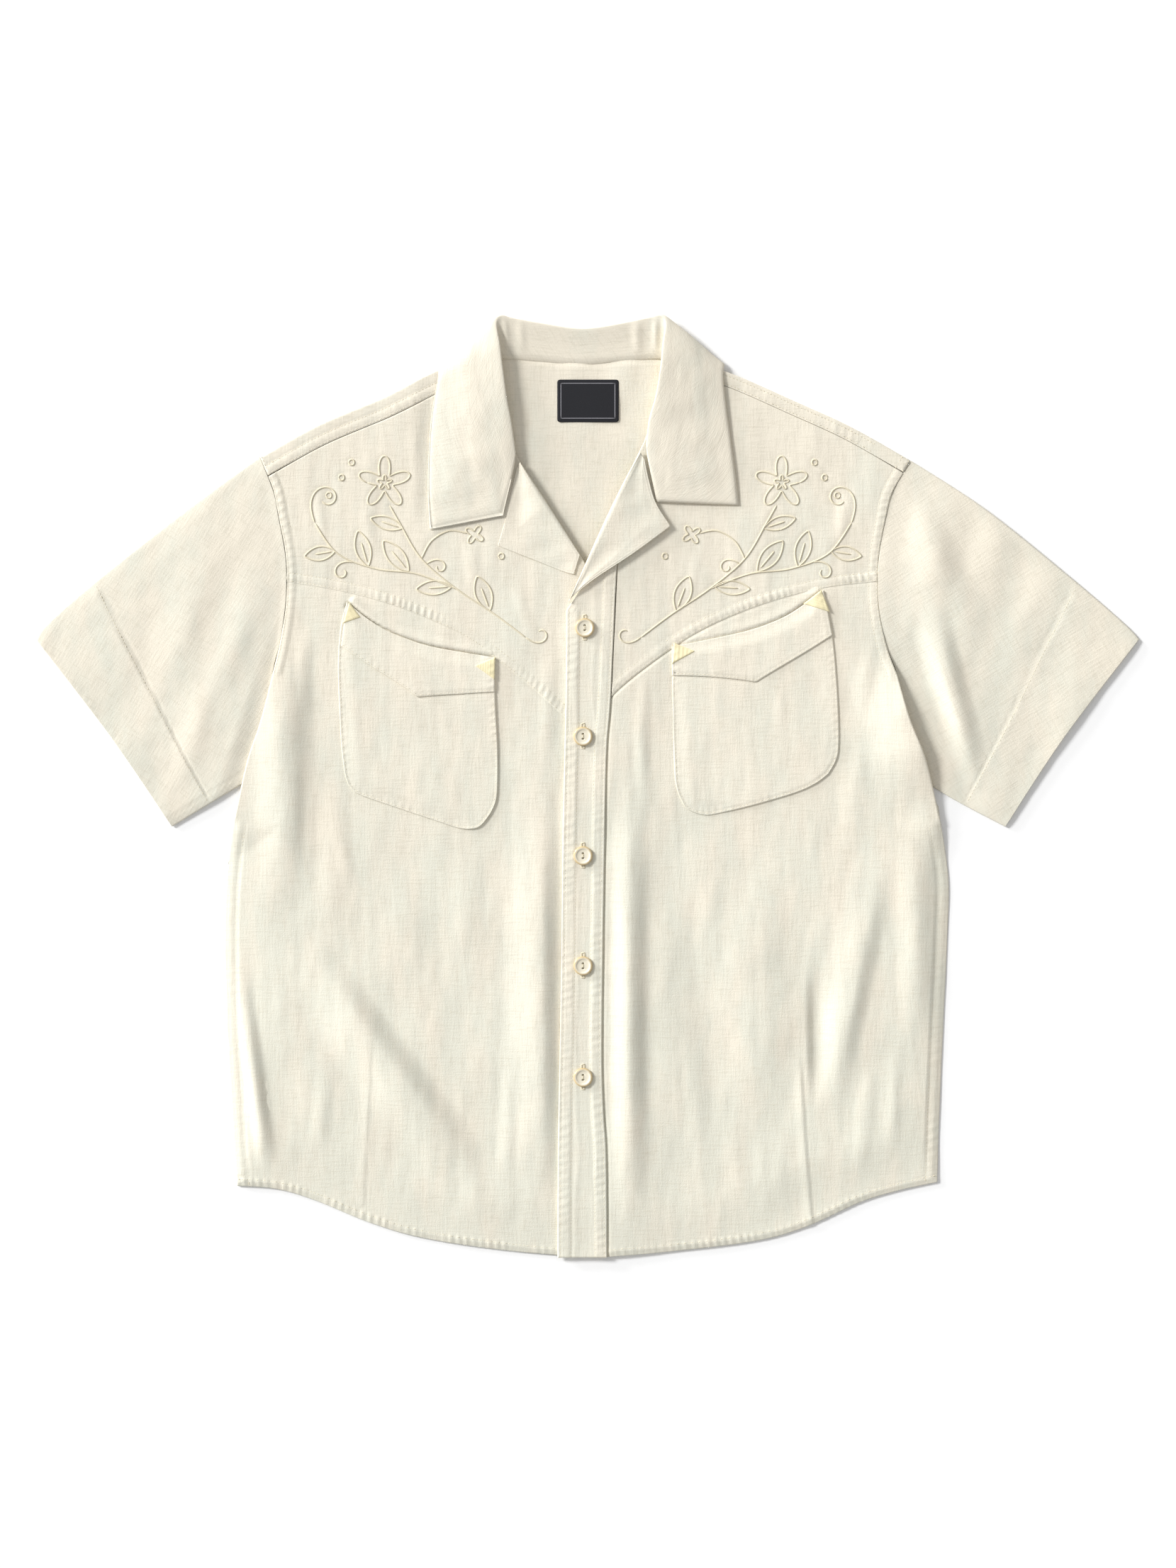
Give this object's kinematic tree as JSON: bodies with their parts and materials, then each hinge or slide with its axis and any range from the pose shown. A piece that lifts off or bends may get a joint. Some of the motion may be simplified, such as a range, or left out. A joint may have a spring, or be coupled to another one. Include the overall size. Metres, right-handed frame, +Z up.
{
  "type": "cuban collar shirt",
  "caption": "Short-sleeved camp-collar shirt with curved western yokes and two curved flap-banded breast pockets, buttoned and laid flat front up.",
  "frame": {"origin": "centre of the outline's box, on the surface that the shirt lies on", "axes": "+X towards the wearer's left sleeve, +Y towards the collar, +Z up out of the front"},
  "size_m": [0.871, 0.7438, 0.0138],
  "materials": {
    "shirt_cloth": "ecru cotton and rayon plain weave, softly creased, puckered topstitched seams",
    "button_resin": "cream casein-look resin with a tan rim, low gloss",
    "label_cloth": "dark navy woven satin, bare"
  },
  "bodies": {
    "root": {"back": "shirt_cloth", "front_right": "shirt_cloth", "front_left": "shirt_cloth", "yoke_right": "shirt_cloth", "yoke_left": "shirt_cloth", "sleeve_right": "shirt_cloth", "sleeve_left": "shirt_cloth", "collar": "shirt_cloth", "lapel_right": "shirt_cloth", "lapel_left": "shirt_cloth", "placket": "shirt_cloth", "pocket_right": "shirt_cloth", "pocket_left": "shirt_cloth", "pocket_band_right": "shirt_cloth", "pocket_band_left": "shirt_cloth", "button_1": "button_resin", "button_2": "button_resin", "button_3": "button_resin", "button_4": "button_resin", "button_5": "button_resin", "neck_label": "label_cloth"}
  },
  "joints": []
}
